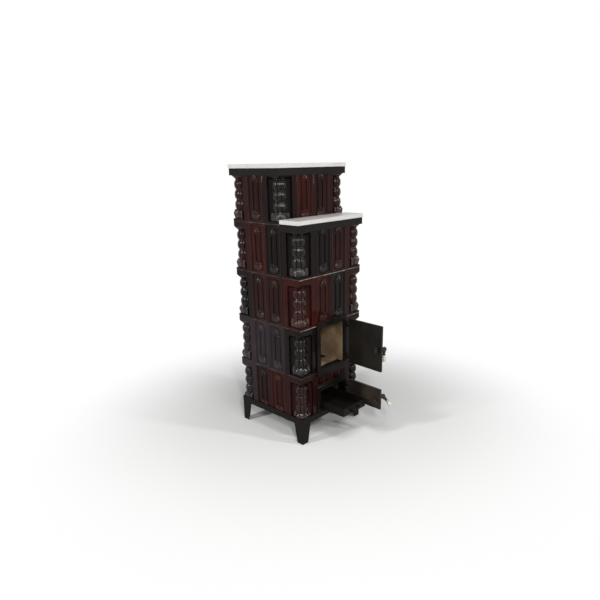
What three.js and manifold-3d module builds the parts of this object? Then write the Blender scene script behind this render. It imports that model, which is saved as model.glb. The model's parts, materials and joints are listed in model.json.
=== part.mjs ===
// Free-standing tiled wood stove on four sheet-steel legs, millimetres, +Z up, front towards -Y.
// Five courses of relief tiles round a clay core, two marble slabs, a fire door and an ash door
// that stand open, and an ash drawer that is pulled part way out.
import * as THREE from 'three';
import { mergeVertices } from 'three/addons/utils/BufferGeometryUtils.js';
import Module from 'manifold-3d';

const wasm = await Module();
wasm.setup();

// ---------------------------------------------------------------- driving dimensions
const MODULE = 110;              // half a face tile, and one leg of a corner tile
const COURSE = 240;              // height of a tile course
const COURSES = 5;
const HALF = 2 * MODULE;         // face plane of the tiles from the middle of the plan
const SET_BACK = MODULE;         // how far the top course stands back at the front
const TILE_T = 40;               // tile thickness, rim to back
const FIT = 0.4;                 // gap between pieces that touch
const SHEET = 3;                 // steel sheet and angle thickness

const LEG_H = 104;               // floor to the underside of the base ring
const LEG_TOP_W = 58;
const LEG_FOOT_W = 38;
const RING_H = 31;               // upright leaf of the black angle frames
const RING_IN = 48;              // level leaf of the base ring

const SLAB_T = 19;
const SLAB_ANGLE = 6;            // angle thickness of the slab frames
const SLAB_OVER = 2.5;           // slab beyond its angle frame
const SHELF_IN = 30;             // level leaf of the slab frames
const FRAME_HALF = 112;          // half width of both door frames
const FRAME_T = 5.6;             // door frame plate
const FIRE_OPEN_HALF = 87;
const ASH_OPEN_HALF = 92;
const ASH_FRAME_H = 140;
const ASH_SILL = 12;             // ash frame below its opening
const ASH_HEAD = 28;             // ash frame above its opening
const FIRE_BELOW = 21.2;         // fire frame below the joint of the first two courses
const FIRE_ABOVE = 12.8;         // fire frame over the foot of the third course
const FIRE_SILL = 38;
const FIRE_HEAD = 24;
const CASING_HALF = 106;         // inside half width of the sheet casing behind a door frame
const CASING_END = 48;           // casing depth behind the tile face
const CASE_DROP = 14;            // fire casing below its opening
const CASE_RISE = 10;            // ash casing above its opening

const HINGE_X = 117;
const HINGE_OUT = 12.5;          // hinge axis in front of the tile face
const LEAF_OUT = 5.5;            // outer face of a leaf in front of its hinge axis
const LEAF_FREE_X = -97;
const LEAF_HINGE_X = 111;
const LEAF_RIM = 8;              // folded rim of a door leaf
const LEAF_COVER = 4;            // leaf over the head of its opening
const FIRE_LEAF_DROP = 18;       // leaf below the sill of its opening
const ASH_LEAF_DROP = SHEET + FIT; // so that the drawer slides over the folded rim
const FIRE_DOOR_OPEN = 88;       // degrees open as drawn
const ASH_DOOR_OPEN = 88;
const BARREL_R = 5.4;
const BARREL_H = 22;
const KNUCKLE_IN = 26;           // foot of a knuckle from the leaf's edge
const PIN_R = 3;
const PIN_PLAY = 0.3;

const LATCH_IN = 26;             // latch axis from the free edge of a leaf
const FIRE_LATCH_UP = 82;        // latch axis above the sill of the opening
const ASH_LATCH_UP = 44;
const AXLE_R = 4;
const HUB_R = 12;                // knob at the turn of the lever
const GRIP_STAND = 46;           // grip axis in front of the leaf
const GRIP_NEAR = 30;            // grip start and end along the lever
const GRIP_FAR = 67;
const GRIP_R = 11.5;
const TONGUE = 28;
const FIRE_LEVER_TURN = 0;       // 0 hangs straight down
const ASH_LEVER_TURN = -60;

const DRAWER_HALF = 85;
const DRAWER_LEN = 270;
const DRAWER_H = 42;
const DRAWER_OUT = 148;          // front of the drawer from the tile face as drawn
const DRAWER_WALL = 2;

const LINING_HALF = 94;          // inside half width of the firebrick lining
const BRICK_T = 30;
const LINING_DROP = 2;           // lining floor below the sill
const LINING_H = 228;
const LINING_BACK = 120;
const ASH_PIT_BACK = 172;
const PIT_HALF = 97;

const FLUE_R = 60;
const FLUE_OUT = 262;
const SHAFT_HALF = 60;
const SHAFT_Y = [60, 140];

// ---------------------------------------------------------------- derived levels
const TILE_Z0 = LEG_H + SHEET + FIT / 2;
const courseZ = (k) => TILE_Z0 + k * COURSE;
const FACE = -HALF;
const UPPER_FACE = FACE + SET_BACK;
const BACK = HALF;
const INNER = HALF - TILE_T;
const RING_OUT = HALF + SHEET;
const SLAB_EDGE = HALF + SLAB_ANGLE + SLAB_OVER;
const SHOULDER = courseZ(COURSES - 1);
const CROWN = courseZ(COURSES);
const HINGE_Y = FACE - HINGE_OUT;
const LEAF_OUT_Y = HINGE_Y - LEAF_OUT;
const PLATE_BACK = FACE - FIT;
const PLATE_FRONT = PLATE_BACK - FRAME_T;
const ASH_FRAME_Z0 = LEG_H + RING_H + 1;
const ASH_FRAME_Z = [ASH_FRAME_Z0, ASH_FRAME_Z0 + ASH_FRAME_H];
const ASH_OPEN_Z = [ASH_FRAME_Z[0] + ASH_SILL, ASH_FRAME_Z[1] - ASH_HEAD];
const ASH_CASE_Z = [ASH_OPEN_Z[0], ASH_OPEN_Z[1] + CASE_RISE];
const ASH_LEAF_Z = [ASH_OPEN_Z[0] - ASH_LEAF_DROP, ASH_OPEN_Z[1] + LEAF_COVER];
const ASH_LATCH_Z = ASH_OPEN_Z[0] + ASH_LATCH_UP;
const FIRE_FRAME_Z = [courseZ(1) - FIRE_BELOW, courseZ(2) + FIRE_ABOVE];
const FIRE_OPEN_Z = [FIRE_FRAME_Z[0] + FIRE_SILL, FIRE_FRAME_Z[1] - FIRE_HEAD];
const FIRE_CASE_Z = [FIRE_OPEN_Z[0] - CASE_DROP, courseZ(2) - SHEET - 2 * FIT];
const FIRE_LEAF_Z = [FIRE_OPEN_Z[0] - FIRE_LEAF_DROP, FIRE_OPEN_Z[1] + LEAF_COVER];
const FIRE_LATCH_Z = FIRE_OPEN_Z[0] + FIRE_LATCH_UP;
const knuckles = (leafZ) => [leafZ[0] + KNUCKLE_IN, leafZ[1] - KNUCKLE_IN - BARREL_H / 2];
const LINING_FLOOR = FIRE_OPEN_Z[0] - LINING_DROP;
const LINING_ROOF = LINING_FLOOR + LINING_H;
const DRAWER_FRONT = FACE - DRAWER_OUT;

// ---------------------------------------------------------------- finishes
const mat = (color, roughness, metalness) => new THREE.MeshStandardMaterial({ color, roughness, metalness });
const GLAZE = {
  red: mat(0x3a1512, 0.18, 0),
  dark: mat(0x191517, 0.16, 0),
  violet: mat(0x221a22, 0.17, 0),
  brown: mat(0x2a1513, 0.18, 0),
};
const BLACK = mat(0x171717, 0.5, 0.6);
const SHEET_STEEL = mat(0x211f1d, 0.55, 0.6);
const MARBLE = mat(0xd9d6cf, 0.35, 0);
const BRICK = mat(0x9b8264, 0.95, 0);
const CLAY = mat(0xa89c8c, 0.98, 0);
const IRON = mat(0x1d1c1b, 0.7, 0.5);
const PORCELAIN = mat(0xe6e4da, 0.2, 0);

// ---------------------------------------------------------------- solid helpers
const part = new THREE.Group();
part.name = 'tiled_stove';

function meshFrom(points, faces) {
  const g = new THREE.BufferGeometry();
  g.setAttribute('position', new THREE.Float32BufferAttribute(points.flat(), 3));
  g.setIndex(faces.flat());
  return g;
}

function toSolid(geometry) {
  const g = geometry.clone();
  g.deleteAttribute('normal');
  g.deleteAttribute('uv');
  const m = mergeVertices(g, 1e-4);
  return new wasm.Manifold(new wasm.Mesh({
    numProp: 3,
    vertProperties: new Float32Array(m.attributes.position.array),
    triVerts: new Uint32Array(m.index.array),
  }));
}

function toGeometry(solid) {
  const m = solid.getMesh();
  const g = new THREE.BufferGeometry();
  const xyz = new Float32Array(m.numVert * 3);
  for (let i = 0; i < m.numVert; i += 1) {
    for (let c = 0; c < 3; c += 1) xyz[i * 3 + c] = m.vertProperties[i * m.numProp + c];
  }
  g.setAttribute('position', new THREE.BufferAttribute(xyz, 3));
  g.setIndex(new THREE.BufferAttribute(new Uint32Array(m.triVerts), 1));
  return g;
}

function box(x0, x1, y0, y1, z0, z1) {
  const g = new THREE.BoxGeometry(x1 - x0, y1 - y0, z1 - z0);
  g.translate((x0 + x1) / 2, (y0 + y1) / 2, (z0 + z1) / 2);
  return toSolid(g);
}

// closed body through rings of equal point count, each ring running anticlockwise seen from +Z
function loft(rings) {
  const n = rings[0].length;
  const faces = [];
  for (let r = 0; r < rings.length - 1; r += 1) {
    for (let i = 0; i < n; i += 1) {
      const a = r * n + i;
      const b = r * n + ((i + 1) % n);
      faces.push([a, b, b + n], [a, b + n, a + n]);
    }
  }
  const cap = THREE.ShapeUtils.triangulateShape(rings[0].map((p) => new THREE.Vector2(p[0], p[1])), []);
  const top = (rings.length - 1) * n;
  for (const t of cap) faces.push([t[2], t[1], t[0]], [t[0] + top, t[1] + top, t[2] + top]);
  return meshFrom(rings.flat(), faces);
}

// turned body about +Z from [radius, height] pairs; the first and last radius are 0
function turned(profile, segments = 16) {
  const points = [[0, 0, profile[0][1]]];
  const faces = [];
  const rings = profile.slice(1, -1);
  for (const [r, z] of rings) {
    for (let i = 0; i < segments; i += 1) {
      const a = (2 * Math.PI * i) / segments;
      points.push([r * Math.cos(a), r * Math.sin(a), z]);
    }
  }
  const last = points.length;
  points.push([0, 0, profile[profile.length - 1][1]]);
  for (let i = 0; i < segments; i += 1) {
    const j = (i + 1) % segments;
    faces.push([0, 1 + j, 1 + i]);
    const e = 1 + (rings.length - 1) * segments;
    faces.push([last, e + i, e + j]);
    for (let r = 0; r < rings.length - 1; r += 1) {
      const a = 1 + r * segments;
      faces.push([a + i, a + j, a + j + segments], [a + i, a + j + segments, a + i + segments]);
    }
  }
  return meshFrom(points, faces);
}

const rod = (r, z0, z1, segments = 12) => turned([[0, z0], [r, z0], [r, z1], [0, z1]], segments);

function upright(r, x, y, z0, z1, segments = 12) {
  const g = rod(r, z0, z1, segments);
  g.translate(x, y, 0);
  return toSolid(g);
}

const union = (solids) => solids.reduce((a, b) => a.add(b));

function add(name, shape, material) {
  let g = shape.isBufferGeometry ? shape : toGeometry(shape);
  if (g.index) g = g.toNonIndexed();
  g.computeVertexNormals();
  const mesh = new THREE.Mesh(g, material);
  mesh.name = name;
  part.add(mesh);
  return mesh;
}

// ---------------------------------------------------------------- base ring, legs and floor plate
function angleRing(x0, x1, y0, y1, z0, z1, levelZ, inward, leafT) {
  const outer = box(x0 - leafT, x1 + leafT, y0 - leafT, y1 + leafT, z0, z1);
  const bore = box(x0 - FIT, x1 + FIT, y0 - FIT, y1 + FIT, z0 - 1, z1 + 1);
  const wall = outer.subtract(bore);
  const shelf = box(x0 - 1, x1 + 1, y0 - 1, y1 + 1, levelZ, levelZ + SHEET)
    .subtract(box(x0 + inward, x1 - inward, y0 + inward, y1 - inward, levelZ - 1, levelZ + SHEET + 1));
  return wall.add(shelf);
}

function legWing() {
  const outline = [[0, 0], [LEG_FOOT_W, 0], [LEG_TOP_W, LEG_H + 1], [0, LEG_H + 1]];
  const ring = (y) => outline.map(([u, z]) => [u, z, y]);
  const g = loft([ring(0), ring(SHEET)]);
  g.rotateX(Math.PI / 2);
  g.translate(0, SHEET, 0);
  return toSolid(g);
}

const wing = legWing();
const LEG_AT = RING_OUT - 0.5;
const legs = [];
for (const [i, sx, sy] of [[0, -1, -1], [1, 1, -1], [2, 1, 1], [3, -1, 1]]) {
  const other = wing.mirror([-1, 1, 0]);
  const corner = wing.add(other).rotate([0, 0, 90 * i]);
  legs.push(corner.translate([sx * LEG_AT, sy * LEG_AT, 0]));
}
const ring = angleRing(-HALF, HALF, -HALF, HALF, LEG_H, LEG_H + RING_H, LEG_H, RING_IN, SHEET);
add('base_frame', union([ring, ...legs]), BLACK);
const FLOOR_T = 3;
const FLOOR_Z = LEG_H + SHEET + FIT;
add('floor_plate', box(-INNER + FIT, INNER - FIT, -INNER + FIT, INNER - FIT, FLOOR_Z, FLOOR_Z + FLOOR_T), SHEET_STEEL);

// ---------------------------------------------------------------- moulded corner tile
// Plan of the outside from one joint edge round to the other: flat border, hollow cove, beaded
// column, cove, border. Rows give height, squareness of the plan, column radius and inset.
const COLUMN_AT = 31.5;          // column axis from both faces, so that the beads touch them
const COVE = 15;
const NECK_R = 24.5;
const BEAD_R = COLUMN_AT;
const CORNER_ROWS = [
  [0, 1, BEAD_R, 0],
  [12, 1, BEAD_R, 0],
  [18, 1, BEAD_R, 3.5],
  [26, 1, BEAD_R, 0],
  [44, 1, BEAD_R, 0.5],
  [53, 0, NECK_R, 0],
  [60, 0, BEAD_R, 0],
  [86, 0, BEAD_R, 0],
  [98, 0, NECK_R, 0],
  [108, 0, BEAD_R, 0],
  [136, 0, BEAD_R, 0],
  [147, 0, NECK_R, 0],
  [156, 0, BEAD_R, 0],
  [182, 0, BEAD_R, 0],
  [191, 0, NECK_R, 0],
  [212, 0.45, NECK_R, 0],
  [233, 1, BEAD_R, 0],
  [COURSE - FIT, 1, BEAD_R, 0],
];
const COLUMN_ANGLES = [-92, -48, 0, 48, 92];
const ARRIS = 0.6;               // softened corner of the square parts

function cornerPlan(square, radius, inset) {
  const sq = [[68, inset], [47, inset], [21, inset], [inset + ARRIS, inset + ARRIS], [inset, 21], [inset, 47], [inset, 68]];
  const round = [[68, COVE]];
  for (const d of COLUMN_ANGLES) {
    const a = ((225 - d) * Math.PI) / 180;
    round.push([COLUMN_AT + radius * Math.cos(a), COLUMN_AT + radius * Math.sin(a)]);
  }
  round.push([COVE, 68]);
  const plan = sq.map((p, i) => [0, 1].map((c) => p[c] * square + round[i][c] * (1 - square)));
  return [[MODULE - FIT / 2, 0], [80, 0], ...plan, [0, 80], [0, MODULE - FIT / 2]];
}

function cornerTile() {
  const points = [];
  const faces = [];
  const rows = CORNER_ROWS.map(([z, s, r, inset]) => cornerPlan(s, r, inset).map(([x, y]) => [x, y, z]));
  const n = rows[0].length;
  rows.forEach((row) => points.push(...row));
  for (let r = 0; r < rows.length - 1; r += 1) {
    for (let i = 0; i < n - 1; i += 1) {
      const a = r * n + i;
      faces.push([a, a + n, a + n + 1], [a, a + n + 1, a + 1]);
    }
  }
  const inner = points.length;
  const edge = MODULE - FIT / 2;
  const zTop = CORNER_ROWS[CORNER_ROWS.length - 1][0];
  for (const z of [0, zTop]) points.push([edge, TILE_T, z], [TILE_T, TILE_T, z], [TILE_T, edge, z]);
  // end faces at the two joints, as fans from a back corner
  for (let r = 0; r < rows.length - 1; r += 1) {
    faces.push([inner, (r + 1) * n, r * n]);
    faces.push([inner + 2, r * n + n - 1, (r + 1) * n + n - 1]);
  }
  const topRow = (rows.length - 1) * n;
  faces.push([inner, inner + 3, topRow], [inner + 2, topRow + n - 1, inner + 5]);
  for (const i of [0, 1]) {
    const a = inner + i;
    faces.push([a, a + 1, a + 4], [a, a + 4, a + 3]);
  }
  const outline = (row) => [...row, ...[0, 1, 2].map((i) => points[inner + 2 - i])].map((p) => new THREE.Vector2(p[0], p[1]));
  const id = (row, i) => (i < n ? row * n + i : inner + 2 - (i - n) + (row ? 3 : 0));
  for (const row of [0, rows.length - 1]) {
    for (const t of THREE.ShapeUtils.triangulateShape(outline(rows[row]), [])) {
      const ids = t.map((i) => id(row, i));
      const a = points[ids[0]];
      const b = points[ids[1]];
      const c = points[ids[2]];
      const turn = (b[0] - a[0]) * (c[1] - a[1]) - (b[1] - a[1]) * (c[0] - a[0]);
      const up = row > 0;
      faces.push((turn > 0) === up ? ids : ids.reverse());
    }
  }
  return meshFrom(points, faces);
}

// ---------------------------------------------------------------- relief face tiles
// Nested steps of one panel: inset from the panel edge and depth behind the face plane.
const PANEL_STEPS = [[0, 2], [4, 0], [13, 0], [16, 7], [21, 7], [24, 2], [30, 2], [34, 9]];
const STRIP_STEPS = [[0, 2], [3, 0], [8, 0], [11, 5]];

// tile of `panels` equal panels: width along x, face towards -y at y 0, base at z 0
function reliefTile(width, height, panels, steps) {
  const points = [];
  const faces = [];
  const w = width / panels;
  const corner = (x0, x1, inset, y) => [
    [x0 + inset, y, inset], [x1 - inset, y, inset], [x1 - inset, y, height - inset], [x0 + inset, y, height - inset],
  ];
  for (let p = 0; p < panels; p += 1) {
    const x0 = -width / 2 + p * w;
    const x1 = x0 + w;
    const first = points.length;
    for (const [inset, depth] of steps) points.push(...corner(x0, x1, inset, depth));
    for (let s = 0; s < steps.length - 1; s += 1) {
      for (let i = 0; i < 4; i += 1) {
        const a = first + 4 * s + i;
        const b = first + 4 * s + ((i + 1) % 4);
        faces.push([a, b, b + 4], [a, b + 4, a + 4]);
      }
    }
    const c = first + 4 * (steps.length - 1);
    faces.push([c, c + 1, c + 2], [c, c + 2, c + 3]);
    const back = points.length;
    points.push(...corner(x0, x1, 0, TILE_T));
    faces.push([back + 2, back + 1, back], [back + 3, back + 2, back]);
    faces.push([first, back, back + 1], [first, back + 1, first + 1]);
    faces.push([first + 2, back + 2, back + 3], [first + 2, back + 3, first + 3]);
    if (p === 0) faces.push([first + 3, back + 3, back], [first + 3, back, first]);
    if (p === panels - 1) faces.push([first + 1, back + 1, back + 2], [first + 1, back + 2, first + 2]);
  }
  return mergeVertices(meshFrom(points, faces), 1e-4);
}

function place(geometry, quarterTurns, x, y, z) {
  const g = geometry.clone();
  g.rotateZ((quarterTurns * Math.PI) / 2);
  g.translate(x, y, z);
  return g;
}

const cornerShape = cornerTile();
const TILE_H = COURSE - FIT;
const doubleTile = reliefTile(2 * MODULE - FIT, TILE_H, 2, PANEL_STEPS);
const singleTile = reliefTile(MODULE - FIT, TILE_H, 1, PANEL_STEPS);
const stripTile = reliefTile(2 * MODULE - FIT, FIRE_FRAME_Z[0] - ASH_FRAME_Z[1] - 2 * FIT, 4, STRIP_STEPS);

// glaze of each visible tile, from the fired colours of the stove: one row per course
const CORNER_GLAZE = [
  ['brown', 'dark', 'dark', 'violet'],
  ['dark', 'dark', 'brown', 'violet'],
  ['red', 'brown', 'dark', 'dark'],
  ['dark', 'brown', 'brown', 'brown'],
  ['dark', 'brown', 'dark', 'brown'],
];
const SIDE_GLAZE = ['red', 'violet', 'brown', 'red', 'red'];
const FRONT_GLAZE = [null, null, 'red', 'brown', 'brown'];
const CORNER_KEYS = ['front_left', 'front_right', 'rear_right', 'rear_left'];

for (let k = 0; k < COURSES; k += 1) {
  const z = courseZ(k) + 0.2;
  const front = k === COURSES - 1 ? UPPER_FACE : FACE;
  const spots = [[-HALF, front], [HALF, front], [HALF, BACK], [-HALF, BACK]];
  CORNER_KEYS.forEach((key, i) => {
    add(`corner_${k + 1}_${key}`, place(cornerShape, i, spots[i][0], spots[i][1], z), GLAZE[CORNER_GLAZE[k][i]]);
  });
  const side = k === COURSES - 1 ? singleTile : doubleTile;
  const midY = (front + BACK) / 2;
  add(`side_${k + 1}_left`, place(side, -1, -HALF, midY, z), GLAZE[SIDE_GLAZE[k]]);
  add(`side_${k + 1}_right`, place(side, 1, HALF, midY, z), GLAZE[SIDE_GLAZE[k]]);
  if (FRONT_GLAZE[k]) add(`front_${k + 1}`, place(doubleTile, 0, 0, front, z), GLAZE[FRONT_GLAZE[k]]);
  const plain = box(-MODULE + FIT / 2, MODULE - FIT / 2, INNER, BACK, z, z + TILE_H);
  const hole = toSolid(rod(FLUE_R + FIT, -1, TILE_T + 1, 24).rotateX(-Math.PI / 2).translate(0, INNER, 0));
  const tile = k === COURSES - 1 ? plain.subtract(hole.translate([0, 0, z + TILE_H / 2])) : plain;
  add(`back_${k + 1}`, tile, GLAZE.dark);
}
add('front_strip', place(stripTile, 0, 0, FACE, ASH_FRAME_Z[1] + FIT), GLAZE.red);

// ---------------------------------------------------------------- clay core with its channels
const FLUE_Z = SHOULDER + COURSE / 2;
const CORE_FIT = INNER - FIT;
const CORE_Z0 = FLOOR_Z + FLOOR_T + FIT;
const SLAB1_Z = SHOULDER + 0.4 + SHEET + FIT + 0.4;
const lowerCore = box(-CORE_FIT, CORE_FIT, -CORE_FIT, CORE_FIT, CORE_Z0, SLAB1_Z - FIT);
const upperCore = box(-CORE_FIT, CORE_FIT, UPPER_FACE + TILE_T + FIT, CORE_FIT, SLAB1_Z - FIT - 1, CROWN);
const shoulderCut = box(-HALF, HALF, UPPER_FACE - FIT, UPPER_FACE + TILE_T + FIT, SHOULDER, SLAB1_Z + 1);
const bedding = box(-MODULE + FIT, MODULE - FIT, FACE + FIT, -CORE_FIT + 1, CORE_Z0, courseZ(2) - 2 * FIT);
const stripCut = box(-HALF, HALF, FACE - 1, -INNER + FIT, ASH_FRAME_Z[1] - 0.2, FIRE_FRAME_Z[0] + 0.2);
const casingEnd = FACE + CASING_END;
const casingCut = (z0, z1) => box(
  -MODULE, MODULE, FACE - 1, casingEnd + FIT, z0 - SHEET - FIT, z1 + SHEET + FIT);
const LINING_OUT = LINING_HALF + BRICK_T;
const LINING_Z0 = LINING_FLOOR - 32;
const LINING_Z1 = LINING_ROOF + BRICK_T;
const LINING_Y1 = LINING_BACK + BRICK_T;
const liningCut = box(-LINING_OUT - FIT, LINING_OUT + FIT, casingEnd, LINING_Y1 + FIT, LINING_Z0 - FIT, LINING_Z1 + FIT);
const pitCut = box(-PIT_HALF, PIT_HALF, casingEnd - 1, ASH_PIT_BACK, ASH_OPEN_Z[0], LINING_Z0);
const shaftTop = FLUE_Z + FLUE_R + 12;
const shaftCut = box(-SHAFT_HALF, SHAFT_HALF, SHAFT_Y[0], SHAFT_Y[1], LINING_Z1 - 1, shaftTop);
const FLUE_IN = SHAFT_Y[1];
const flueCut = toSolid(rod(FLUE_R + FIT, FLUE_IN - 1, HALF, 24).rotateX(-Math.PI / 2)).translate([0, 0, FLUE_Z]);
let core = lowerCore.subtract(shoulderCut).add(upperCore).add(bedding.subtract(stripCut));
for (const cut of [
  casingCut(...FIRE_CASE_Z), casingCut(...ASH_CASE_Z), liningCut, pitCut, shaftCut, flueCut,
]) core = core.subtract(cut);
add('clay_core', core, CLAY);

// ---------------------------------------------------------------- firebrick lining and grate
const GRATE_HALF = 75;
const GRATE_Y = [-120, 80];
const GRATE_T = 10;
const GRATE_Z = LINING_FLOOR - GRATE_T - 1;
const GRATE_LEDGE = 10;
const lf = FIT;
let lining = box(-LINING_OUT, LINING_OUT, casingEnd + lf, LINING_Y1, LINING_Z0, LINING_Z1);
lining = lining.subtract(box(-LINING_HALF, LINING_HALF, casingEnd - 1, LINING_BACK, LINING_FLOOR, LINING_ROOF));
lining = lining.subtract(box(-SHAFT_HALF, SHAFT_HALF, SHAFT_Y[0], LINING_BACK, LINING_ROOF - 1, LINING_Z1 + 1));
lining = lining.subtract(box(
  -GRATE_HALF - lf, GRATE_HALF + lf, GRATE_Y[0] - lf, GRATE_Y[1] + lf, GRATE_Z - lf, LINING_FLOOR + 1));
lining = lining.subtract(box(
  -GRATE_HALF + GRATE_LEDGE, GRATE_HALF - GRATE_LEDGE, GRATE_Y[0] + GRATE_LEDGE, GRATE_Y[1] - GRATE_LEDGE,
  LINING_Z0 - 1, LINING_FLOOR));
const BRICK_JOINT = 2;
for (const z of [LINING_FLOOR + 114, LINING_FLOOR + 190]) {
  for (const s of [-1, 1]) {
    const x = s * LINING_HALF;
    lining = lining.subtract(box(x - BRICK_JOINT, x + BRICK_JOINT, casingEnd - 1, LINING_BACK + 2, z - 1, z + 1));
  }
  lining = lining.subtract(box(-LINING_HALF, LINING_HALF, LINING_BACK - 1, LINING_BACK + 2, z - 1, z + 1));
}
add('firebox_lining', lining, BRICK);

const SLOTS = 8;
let grate = box(-GRATE_HALF, GRATE_HALF, GRATE_Y[0], GRATE_Y[1], GRATE_Z, GRATE_Z + GRATE_T);
const slotPitch = (2 * GRATE_HALF - 16) / SLOTS;
for (let i = 0; i < SLOTS; i += 1) {
  const x = -GRATE_HALF + 8 + slotPitch * (i + 0.5);
  for (const [y0, y1] of [[GRATE_Y[0] + 14, -26], [-14, GRATE_Y[1] - 14]]) {
    grate = grate.subtract(box(x - 4.5, x + 4.5, y0, y1, GRATE_Z - 1, GRATE_Z + GRATE_T + 1));
  }
}
add('grate', grate, IRON);

// ---------------------------------------------------------------- slabs and their angle frames
function slab(x0, x1, y0, y1, z0) {
  const EASE = 1.6;
  const rect = (e, z) => [[x0 + e, y0 + e, z], [x1 - e, y0 + e, z], [x1 - e, y1 - e, z], [x0 + e, y1 - e, z]];
  return loft([rect(EASE, z0), rect(0, z0 + EASE), rect(0, z0 + SLAB_T - EASE), rect(EASE, z0 + SLAB_T)]);
}
const SHELF1_Z = SHOULDER + FIT;
const FAR = 2 * HALF;
const lowerRing = angleRing(
  -HALF, HALF, -HALF, HALF, SLAB1_Z - FIT - RING_H, SLAB1_Z - FIT, SHELF1_Z, SHELF_IN, SLAB_ANGLE)
  .subtract(box(-FAR, FAR, UPPER_FACE - FIT, FAR, SHOULDER - RING_H, SHOULDER + RING_H))
  .subtract(box(-CORE_FIT - FIT, CORE_FIT + FIT, -CORE_FIT - FIT, FAR, SHOULDER - RING_H, SHOULDER + RING_H));
add('lower_slab_frame', lowerRing, BLACK);
add('lower_slab', slab(-SLAB_EDGE, SLAB_EDGE, -SLAB_EDGE, UPPER_FACE - 2 * FIT, SLAB1_Z), MARBLE);
const SHELF2_Z = CROWN + FIT;
const SLAB2_Z = SHELF2_Z + SHEET + FIT;
add('upper_slab_frame', angleRing(
  -HALF, HALF, UPPER_FACE, HALF, SLAB2_Z - FIT - RING_H, SLAB2_Z - FIT, SHELF2_Z, SHELF_IN, SLAB_ANGLE), BLACK);
const upperSlabY0 = UPPER_FACE - SLAB_ANGLE - SLAB_OVER;
add('upper_slab', slab(-SLAB_EDGE, SLAB_EDGE, upperSlabY0, SLAB_EDGE, SLAB2_Z), MARBLE);

// ---------------------------------------------------------------- door frames with hinge pins
function hingeLug(z) {
  const tab = box(FRAME_HALF - 4, HINGE_X + BARREL_R, PLATE_FRONT, PLATE_BACK, z - 8, z);
  const neck = box(HINGE_X - 4, HINGE_X + BARREL_R, HINGE_Y, PLATE_BACK, z - 8, z);
  const eye = upright(BARREL_R, HINGE_X, HINGE_Y, z - 8, z);
  const pin = upright(PIN_R, HINGE_X, HINGE_Y, z - 4, z + BARREL_H + 1);
  return union([tab, neck, eye, pin]);
}
const KNUCKLE_GAP = 0.5;

function doorFrame(frameZ, openHalf, openZ, caseZ, leafZ) {
  const plate = box(-FRAME_HALF, FRAME_HALF, PLATE_FRONT, PLATE_BACK, frameZ[0], frameZ[1]);
  const h = CASING_HALF + SHEET;
  const casing = box(-h, h, PLATE_BACK - 1, casingEnd, caseZ[0] - SHEET, caseZ[1] + SHEET)
    .subtract(box(-CASING_HALF, CASING_HALF, PLATE_BACK - 2, casingEnd + 1, caseZ[0], caseZ[1]));
  const hole = box(-openHalf, openHalf, PLATE_FRONT - 1, PLATE_BACK + 0.5, openZ[0], openZ[1]);
  // shallow groove round the opening that the leaf's rim shuts over
  const groove = (out, y0, y1) => box(
    -openHalf - out, openHalf + out, y0, y1, openZ[0] - out, openZ[1] + out);
  const GROOVE_OUT = 5;
  const GROOVE_W = 2;
  const stop = groove(GROOVE_OUT, PLATE_FRONT - 1, PLATE_FRONT + 1).subtract(groove(GROOVE_OUT - GROOVE_W, 2 * FACE, 0));
  const lugs = knuckles(leafZ).map((z) => hingeLug(z));
  return union([plate, casing.trimByPlane([0, 1, 0], PLATE_BACK - 0.5), ...lugs]).subtract(hole).subtract(stop);
}
add('fire_door_frame', doorFrame(FIRE_FRAME_Z, FIRE_OPEN_HALF, FIRE_OPEN_Z, FIRE_CASE_Z, FIRE_LEAF_Z), BLACK);
add('ash_door_frame', doorFrame(ASH_FRAME_Z, ASH_OPEN_HALF, ASH_OPEN_Z, ASH_CASE_Z, ASH_LEAF_Z), BLACK);

// ---------------------------------------------------------------- door leaves, drawn shut then swung
const LATCH_X = LEAF_FREE_X + LATCH_IN;
const swing = (geometry, degrees) => {
  geometry.translate(-HINGE_X, -HINGE_Y, 0);
  geometry.rotateZ((degrees * Math.PI) / 180);
  geometry.translate(HINGE_X, HINGE_Y, 0);
  return geometry;
};
const LEAF_IN_Y = LEAF_OUT_Y + SHEET;

function leaf(z, latchZ) {
  const sheet = box(LEAF_FREE_X, LEAF_HINGE_X, LEAF_OUT_Y, LEAF_IN_Y, z[0], z[1]);
  const rim = box(LEAF_FREE_X, LEAF_HINGE_X, LEAF_IN_Y - 1, LEAF_IN_Y + LEAF_RIM, z[0], z[1])
    .subtract(box(LEAF_FREE_X + SHEET, LEAF_HINGE_X - SHEET, 2 * FACE, 0, z[0] + SHEET, z[1] - SHEET));
  const barrels = knuckles(z).map((k) => {
    const z0 = k + KNUCKLE_GAP;
    const eye = upright(BARREL_R, HINGE_X, HINGE_Y, z0, z0 + BARREL_H - 1);
    const arm = box(LEAF_HINGE_X - 4, HINGE_X, LEAF_OUT_Y, LEAF_OUT_Y + 4, z0, z0 + BARREL_H - 1);
    return eye.add(arm);
  });
  const bores = knuckles(z).map((k) => upright(PIN_R + PIN_PLAY, HINGE_X, HINGE_Y, k - 5, k + BARREL_H + 5));
  const bolt = toSolid(rod(AXLE_R + PIN_PLAY, -10, 20, 16).rotateX(-Math.PI / 2))
    .translate([LATCH_X, LEAF_OUT_Y, latchZ]);
  return union([sheet, rim, ...barrels]).subtract(union([...bores, bolt]));
}

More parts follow.
